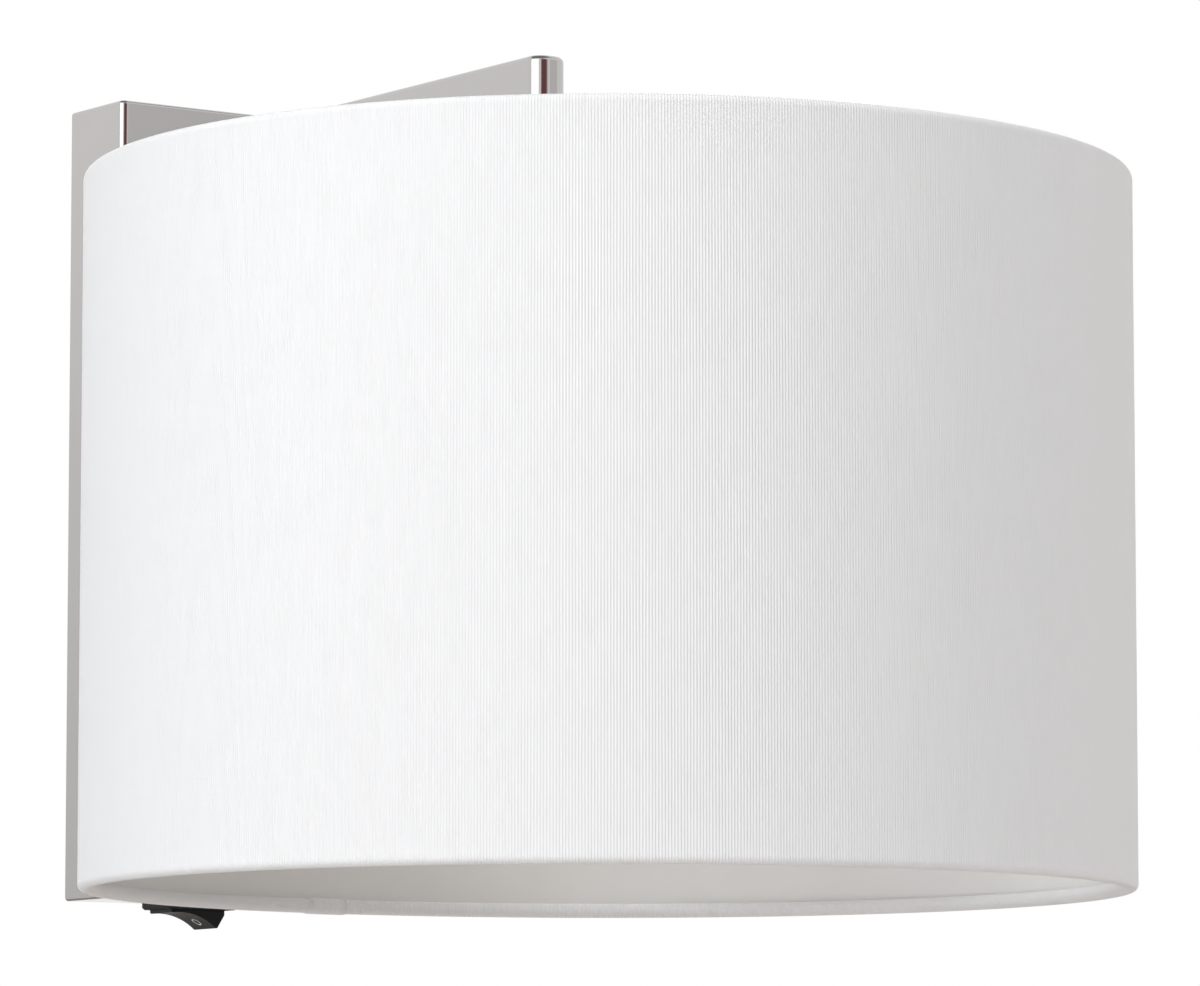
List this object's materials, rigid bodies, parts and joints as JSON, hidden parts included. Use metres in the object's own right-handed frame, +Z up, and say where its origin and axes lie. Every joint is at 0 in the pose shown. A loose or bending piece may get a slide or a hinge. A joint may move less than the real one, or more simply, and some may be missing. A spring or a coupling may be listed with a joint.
{
  "type": "fabric shade wall light",
  "caption": "Wall light with a white fabric drum shade on a flat metal arm out of a slim upright wall box with a rocker switch under it.",
  "frame": {"origin": "centre of the wall box's back, on the wall", "axes": "+Y into the wall, +X to the right for someone who faces the wall, +Z up"},
  "size_m": [0.25, 0.325, 0.2154],
  "materials": {
    "polished_nickel": "polished nickel plate",
    "zinc_plated_steel": "zinc plated",
    "brass": "bright brass",
    "nickel_cap": "plated thin metal",
    "black_moulding": "satin black",
    "white_moulding": "matt white",
    "opal_dome": "opal white",
    "grey_rubber": "matt",
    "white_wire": "white enamel",
    "shade_cloth": "white ribbed cloth",
    "shade_lining": "matt white sheet",
    "brown_insulation": "matt",
    "blue_insulation": "matt",
    "earth_insulation": "matt"
  },
  "bodies": {
    "fixture": {"box_shell": "polished_nickel", "arm_tube": "polished_nickel", "arm_end_plug": "polished_nickel", "holder_carrier": "polished_nickel", "carrier_cover": "polished_nickel", "shell_screws": "polished_nickel", "wall_bracket": "zinc_plated_steel", "earth_screw": "zinc_plated_steel", "earth_washer": "zinc_plated_steel", "block_screws": "zinc_plated_steel", "arm_root_block": "zinc_plated_steel", "arm_backing_plate": "zinc_plated_steel", "arm_screws": "zinc_plated_steel", "carrier_screws": "zinc_plated_steel", "carrier_nut_strip": "zinc_plated_steel", "nipple": "zinc_plated_steel", "nipple_nut": "zinc_plated_steel", "terminal_clamps": "brass", "terminal_screws": "brass", "holder_terminals": "brass", "centre_contact": "brass", "switch_blades": "brass", "thread_sleeve": "brass", "switch_body": "black_moulding", "terminal_block": "white_moulding", "holder_cap": "white_moulding", "holder_skirt": "white_moulding", "holder_insert": "white_moulding", "cable_grommet": "grey_rubber", "shade_hub_ring": "white_wire", "shade_spokes": "white_wire", "shade_top_wire": "white_wire", "shade_bottom_wire": "white_wire", "shade_fabric": "shade_cloth", "shade_lining": "shade_lining", "lamp_live_lead": "brown_insulation", "switch_feed_lead": "brown_insulation", "lamp_neutral_lead": "blue_insulation", "earth_lead": "earth_insulation"},
    "rocker": {"switch_rocker": "black_moulding"},
    "clamp_ring": {"shade_ring": "white_moulding"},
    "bulb": {"bulb_cap": "nickel_cap", "bulb_insulator": "black_moulding", "bulb_contact": "brass", "bulb_collar": "white_moulding", "bulb_dome": "opal_dome"}
  },
  "joints": [
    {"name": "rocker_tilt", "type": "hinge", "parent": "fixture", "child": "rocker", "pos_m": [0, -0.0125, -0.1015], "axis": [0, 1, 0], "range_deg": [-32, 0]},
    {"name": "ring_turn", "type": "hinge", "parent": "fixture", "child": "clamp_ring", "pos_m": [0, -0.2, 0.02], "axis": [0, 0, 1], "continuous": true},
    {"name": "bulb_turn", "type": "hinge", "parent": "fixture", "child": "bulb", "pos_m": [0, -0.2, 0], "axis": [0, 0, 1], "continuous": true}
  ]
}
